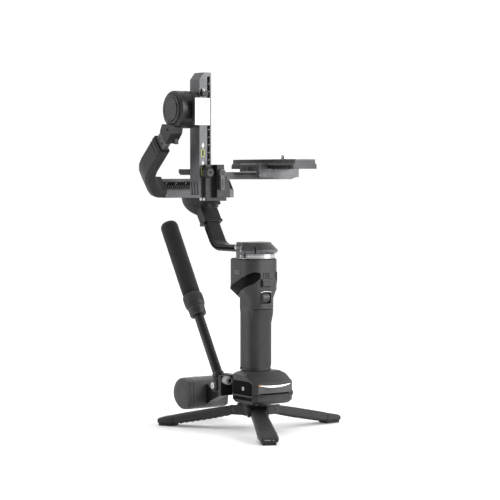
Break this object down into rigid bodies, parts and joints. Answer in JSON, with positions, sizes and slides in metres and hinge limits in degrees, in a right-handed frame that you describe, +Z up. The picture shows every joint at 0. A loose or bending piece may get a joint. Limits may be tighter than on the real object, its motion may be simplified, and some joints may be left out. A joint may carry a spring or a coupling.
{
  "type": "gimbal stabilizer",
  "caption": "Handheld three-axis camera stabilizer with a sling grip and wrist rest, standing on a folding mini tripod.",
  "frame": {"origin": "on the pan axis, at the centre of the tripod hub's flat underside", "axes": "+Z up along the pan axis, -Y the way the camera looks, +X the side away from the tilt motor"},
  "size_m": [0.272, 0.3114, 0.461],
  "materials": {
    "black_plastic": "fine matte texture, near black",
    "black_metal": "satin black anodised or painted alloy",
    "grey_metal": "satin dark grey anodised alloy",
    "silver_metal": "turned bare alloy",
    "gloss_black": "glossy black",
    "black_rubber": "soft matte rubber",
    "black_foam": "fine-celled foam rubber",
    "pad_cloth": "smooth black cloth over soft foam",
    "lamp_white": "frosted white diffuser",
    "green_board": "green circuit board",
    "cell_wrap": "blue shrink wrap"
  },
  "bodies": {
    "handle": {"tripod_hub": "black_plastic", "base_housing": "black_plastic", "light_strip": "lamp_white", "rear_mount": "black_metal", "grip_shell": "black_plastic", "battery_door": "black_plastic", "grip_pad": "black_rubber", "battery_cell_1": "cell_wrap", "battery_cell_2": "cell_wrap", "head_shell": "black_plastic", "display_window": "gloss_black", "inlay_left": "gloss_black", "inlay_right": "gloss_black", "control_board": "green_board", "pan_motor_ring": "silver_metal"},
    "leg_1": {"leg_1": "black_plastic", "foot_1": "black_rubber"},
    "leg_2": {"leg_2": "black_plastic", "foot_2": "black_rubber"},
    "leg_3": {"leg_3": "black_plastic", "foot_3": "black_rubber"},
    "thumbscrew": {"mount_thumbscrew": "black_metal"},
    "hinge_knob": {"hinge_knob": "black_metal"},
    "wrist_rest": {"rest_arm": "black_metal", "wrist_pad": "pad_cloth"},
    "sling_rod": {"sling_rod": "black_metal"},
    "twist_collar": {"twist_collar": "black_plastic"},
    "sling_grip": {"sling_foam": "black_foam"},
    "trigger": {"front_trigger": "black_plastic"},
    "dial": {"front_dial": "silver_metal"},
    "joystick": {"joystick": "black_rubber"},
    "record_button": {"record_button": "grey_metal"},
    "mode_button": {"mode_button": "grey_metal"},
    "pan_rotor": {"pan_shaft": "grey_metal", "pan_clamp": "black_metal"},
    "pan_lock": {"pan_lock_lever": "grey_metal"},
    "pan_arm": {"pan_arm": "black_metal", "roll_housing": "black_metal", "roll_rear_cap": "black_plastic"},
    "roll_rotor": {"roll_rotor": "black_metal", "roll_shaft": "grey_metal"},
    "roll_lock": {"roll_lock_knob": "black_metal"},
    "roll_arm": {"roll_rail": "grey_metal", "roll_link": "grey_metal", "link_cover": "black_plastic", "tilt_housing": "black_metal", "tilt_cap": "black_plastic"},
    "tilt_frame": {"tilt_shaft": "black_metal", "upright_arm": "grey_metal", "fill_light": "black_plastic", "fill_light_panel": "lamp_white"},
    "height_bracket": {"plate_bracket": "black_metal"},
    "height_knob": {"height_knob": "black_rubber"},
    "bar_lever": {"slide_lever": "silver_metal"},
    "camera_bar": {"camera_bar": "grey_metal", "plate_receiver": "grey_metal"},
    "plate_lever": {"plate_lever": "black_metal"},
    "camera_plate": {"quick_plate": "grey_metal"},
    "camera_screw": {"camera_screw": "silver_metal"}
  },
  "joints": [
    {"name": "leg_1_fold", "type": "hinge", "parent": "handle", "child": "leg_1", "pos_m": [0.02498, 0.00105, 0.0065], "axis": [-0.0419, 0.9991, 0], "range_deg": [0, 80]},
    {"name": "leg_2_fold", "type": "hinge", "parent": "handle", "child": "leg_2", "pos_m": [-0.0134, 0.02111, 0.0065], "axis": [-0.8443, -0.5358, 0], "range_deg": [0, 80]},
    {"name": "leg_3_fold", "type": "hinge", "parent": "handle", "child": "leg_3", "pos_m": [-0.01158, -0.02216, 0.0065], "axis": [0.8862, -0.4633, 0], "range_deg": [0, 80]},
    {"name": "thumbscrew_turn", "type": "hinge", "parent": "handle", "child": "thumbscrew", "pos_m": [-0.028, 0.018, 0.0446], "axis": [0, 1, 0], "continuous": true},
    {"name": "hinge_knob_turn", "type": "hinge", "parent": "handle", "child": "hinge_knob", "pos_m": [-0.0353, 0.047, 0.036], "axis": [1, 0, 0], "continuous": true},
    {"name": "wrist_rest_tilt", "type": "hinge", "parent": "handle", "child": "wrist_rest", "pos_m": [0, 0.047, 0.036], "axis": [1, 0, 0], "range_deg": [-10, 30]},
    {"name": "sling_fold", "type": "hinge", "parent": "handle", "child": "sling_rod", "pos_m": [-0.0212, 0.047, 0.036], "axis": [1, 0, 0], "range_deg": [-35, 0]},
    {"name": "collar_twist", "type": "hinge", "parent": "sling_rod", "child": "twist_collar", "pos_m": [-0.0212, 0.047, 0.036], "axis": [0, 0.5299, 0.848], "range_deg": [-45, 45]},
    {"name": "sling_grip_slide", "type": "slide", "parent": "sling_rod", "child": "sling_grip", "axis": [0, 0.5299, 0.848], "range_m": [0, 0.03]},
    {"name": "trigger_pull", "type": "slide", "parent": "handle", "child": "trigger", "axis": [0, 1, 0], "range_m": [0, 0.0012], "stiffness_N_per_m": 500, "springref_m": -0.001},
    {"name": "dial_turn", "type": "hinge", "parent": "handle", "child": "dial", "pos_m": [0, -0.0182, 0.154], "axis": [1, 0, 0], "continuous": true},
    {"name": "joystick_tilt", "type": "hinge", "parent": "handle", "child": "joystick", "pos_m": [0, 0.027, 0.171], "axis": [1, 0, 0], "range_deg": [-10, 10], "stiffness_Nm_per_rad": 0.05},
    {"name": "record_press", "type": "slide", "parent": "handle", "child": "record_button", "axis": [0, -1, 0], "range_m": [0, 0.0008], "stiffness_N_per_m": 500, "springref_m": -0.0008},
    {"name": "mode_press", "type": "slide", "parent": "handle", "child": "mode_button", "axis": [0, -1, 0], "range_m": [0, 0.0008], "stiffness_N_per_m": 500, "springref_m": -0.0008},
    {"name": "pan", "type": "hinge", "parent": "handle", "child": "pan_rotor", "pos_m": [0, 0, 0.2], "axis": [0, 0, 1], "continuous": true},
    {"name": "pan_lock_swing", "type": "hinge", "parent": "pan_rotor", "child": "pan_lock", "pos_m": [-0.0293, -0.0015, 0.2186], "axis": [1, 0, 0], "range_deg": [-40, 40]},
    {"name": "pan_arm_slide", "type": "slide", "parent": "pan_rotor", "child": "pan_arm", "axis": [0, 1, 0], "range_m": [-0.01, 0.01]},
    {"name": "roll", "type": "hinge", "parent": "pan_arm", "child": "roll_rotor", "pos_m": [0, 0.139, 0.27317], "axis": [0, -0.7547, 0.6561], "range_deg": [-40, 40]},
    {"name": "roll_lock_turn", "type": "hinge", "parent": "roll_rotor", "child": "roll_lock", "pos_m": [-0.006, 0.0885, 0.2771], "axis": [0, 0, 1], "continuous": true},
    {"name": "roll_arm_slide", "type": "slide", "parent": "roll_rotor", "child": "roll_arm", "axis": [1, 0, 0], "range_m": [-0.01, 0.01]},
    {"name": "tilt", "type": "hinge", "parent": "roll_arm", "child": "tilt_frame", "pos_m": [-0.1, 0, 0.394], "axis": [1, 0, 0], "range_deg": [-60, 60]},
    {"name": "height_slide", "type": "slide", "parent": "tilt_frame", "child": "height_bracket", "axis": [0, 0, 1], "range_m": [0, 0.045]},
    {"name": "height_knob_turn", "type": "hinge", "parent": "height_bracket", "child": "height_knob", "pos_m": [-0.0894, -0.0203, 0.315], "axis": [0, 1, 0], "continuous": true},
    {"name": "bar_lever_swing", "type": "hinge", "parent": "height_bracket", "child": "bar_lever", "pos_m": [-0.0724, -0.0273, 0.3146], "axis": [0, 1, 0], "range_deg": [-80, 0]},
    {"name": "bar_slide", "type": "slide", "parent": "height_bracket", "child": "camera_bar", "axis": [1, 0, 0], "range_m": [-0.008, 0.004]},
    {"name": "plate_lever_swing", "type": "hinge", "parent": "camera_bar", "child": "plate_lever", "pos_m": [0.0313, -0.016, 0.321], "axis": [1, 0, 0], "range_deg": [-70, 0]},
    {"name": "plate_slide", "type": "slide", "parent": "camera_bar", "child": "camera_plate", "axis": [0, 1, 0], "range_m": [-0.025, 0.02]},
    {"name": "camera_screw_slide", "type": "slide", "parent": "camera_plate", "child": "camera_screw", "axis": [0, 1, 0], "range_m": [-0.025, 0.004]}
  ]
}
